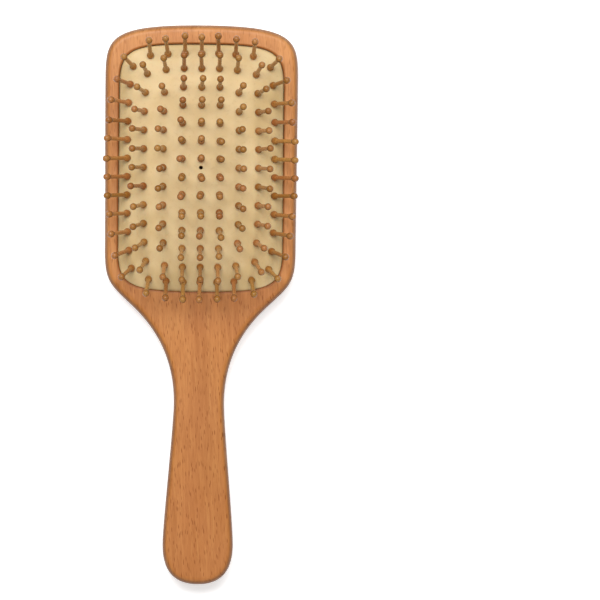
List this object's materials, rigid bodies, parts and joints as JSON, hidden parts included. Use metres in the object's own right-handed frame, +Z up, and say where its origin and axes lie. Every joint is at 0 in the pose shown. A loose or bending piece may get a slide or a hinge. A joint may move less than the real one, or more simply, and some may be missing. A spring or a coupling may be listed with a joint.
{
  "type": "vanity hairbrush",
  "caption": "Wooden paddle hairbrush with a flat handle and a domed rubber air cushion set with ball-tipped wooden pins.",
  "frame": {"origin": "on the flat back, in the middle of the length and of the width, brush lying on its back", "axes": "+Z up out of the pins, +Y from the handle to the head, +X across the brush"},
  "size_m": [0.0854, 0.245, 0.0366],
  "materials": {
    "paddle_wood": "satin lacquered beech",
    "cushion_rubber": "matte cream",
    "pin_wood": "turned and varnished"
  },
  "bodies": {
    "paddle": {"wooden_paddle": "paddle_wood", "air_cushion": "cushion_rubber"},
    "crown_pins": {"pins_column4_set3": "pin_wood", "pins_column4_set4": "pin_wood", "pins_column4_set5": "pin_wood", "pins_column5_set3": "pin_wood", "pins_column5_set4": "pin_wood", "pins_column5_set5": "pin_wood", "pins_column6_set3": "pin_wood", "pins_column6_set4": "pin_wood", "pins_column6_set5": "pin_wood", "pins_column3_set3": "pin_wood", "pins_column7_set3": "pin_wood"},
    "inner_pins": {"pins_column4_set2": "pin_wood", "pins_column4_set6": "pin_wood", "pins_column5_set2": "pin_wood", "pins_column5_set6": "pin_wood", "pins_column6_set2": "pin_wood", "pins_column6_set6": "pin_wood", "pins_column3_set2": "pin_wood", "pins_column3_set4": "pin_wood", "pins_column7_set2": "pin_wood", "pins_column7_set4": "pin_wood"},
    "left_pins": {"pins_column2_set2": "pin_wood", "pins_column2_set3": "pin_wood", "pins_column2_set4": "pin_wood"},
    "right_pins": {"pins_column8_set2": "pin_wood", "pins_column8_set3": "pin_wood", "pins_column8_set4": "pin_wood"},
    "left_edge_pins": {"pins_column1_set1": "pin_wood", "pins_column1_set2": "pin_wood", "pins_column1_set3": "pin_wood", "pins_column1_set4": "pin_wood", "pins_column1_set5": "pin_wood", "pins_column1_set6": "pin_wood"},
    "right_edge_pins": {"pins_column9_set1": "pin_wood", "pins_column9_set2": "pin_wood", "pins_column9_set3": "pin_wood", "pins_column9_set4": "pin_wood", "pins_column9_set5": "pin_wood", "pins_column9_set6": "pin_wood"},
    "head_end_pins": {"pins_column2_set5": "pin_wood", "pins_column3_set5": "pin_wood", "pins_column7_set5": "pin_wood", "pins_column8_set5": "pin_wood", "pins_column4_set7": "pin_wood", "pins_column5_set7": "pin_wood", "pins_column6_set7": "pin_wood"},
    "handle_end_pins": {"pins_column2_set1": "pin_wood", "pins_column3_set1": "pin_wood", "pins_column4_set1": "pin_wood", "pins_column5_set1": "pin_wood", "pins_column6_set1": "pin_wood", "pins_column7_set1": "pin_wood", "pins_column8_set1": "pin_wood"}
  },
  "joints": [
    {"name": "cushion_press", "type": "slide", "parent": "paddle", "child": "crown_pins", "axis": [0, 0, -1], "range_m": [0, 0.005], "stiffness_N_per_m": 1500, "deforming": ["air_cushion"]},
    {"name": "inner_press", "type": "slide", "parent": "paddle", "child": "inner_pins", "axis": [0, 0, -1], "range_m": [0, 0.0043]},
    {"name": "left_fold", "type": "hinge", "parent": "paddle", "child": "left_pins", "pos_m": [-0.0443, 0.06, 0.0116], "axis": [0, 1, 0], "range_deg": [0, 11]},
    {"name": "right_fold", "type": "hinge", "parent": "paddle", "child": "right_pins", "pos_m": [0.0443, 0.06, 0.0116], "axis": [0, -1, 0], "range_deg": [0, 11]},
    {"name": "left_edge_fold", "type": "hinge", "parent": "paddle", "child": "left_edge_pins", "pos_m": [-0.037, 0.06, 0.0116], "axis": [0, 1, 0], "range_deg": [0, 19.5]},
    {"name": "right_edge_fold", "type": "hinge", "parent": "paddle", "child": "right_edge_pins", "pos_m": [0.037, 0.06, 0.0116], "axis": [0, -1, 0], "range_deg": [0, 19.5]},
    {"name": "head_end_fold", "type": "hinge", "parent": "paddle", "child": "head_end_pins", "pos_m": [0, 0.1161, 0.0116], "axis": [1, 0, 0], "range_deg": [0, 12.5]},
    {"name": "handle_end_fold", "type": "hinge", "parent": "paddle", "child": "handle_end_pins", "pos_m": [0, 0.0039, 0.0116], "axis": [-1, 0, 0], "range_deg": [0, 12.5]}
  ],
  "couplings": [
    {"joint": "inner_press", "follows": "cushion_press", "ratio": 0.84},
    {"joint": "left_fold", "follows": "cushion_press", "rad_per_m": 36.7},
    {"joint": "right_fold", "follows": "cushion_press", "rad_per_m": 36.7},
    {"joint": "left_edge_fold", "follows": "cushion_press", "rad_per_m": 66},
    {"joint": "right_edge_fold", "follows": "cushion_press", "rad_per_m": 66},
    {"joint": "head_end_fold", "follows": "cushion_press", "rad_per_m": 42.8},
    {"joint": "handle_end_fold", "follows": "cushion_press", "rad_per_m": 42.8}
  ]
}
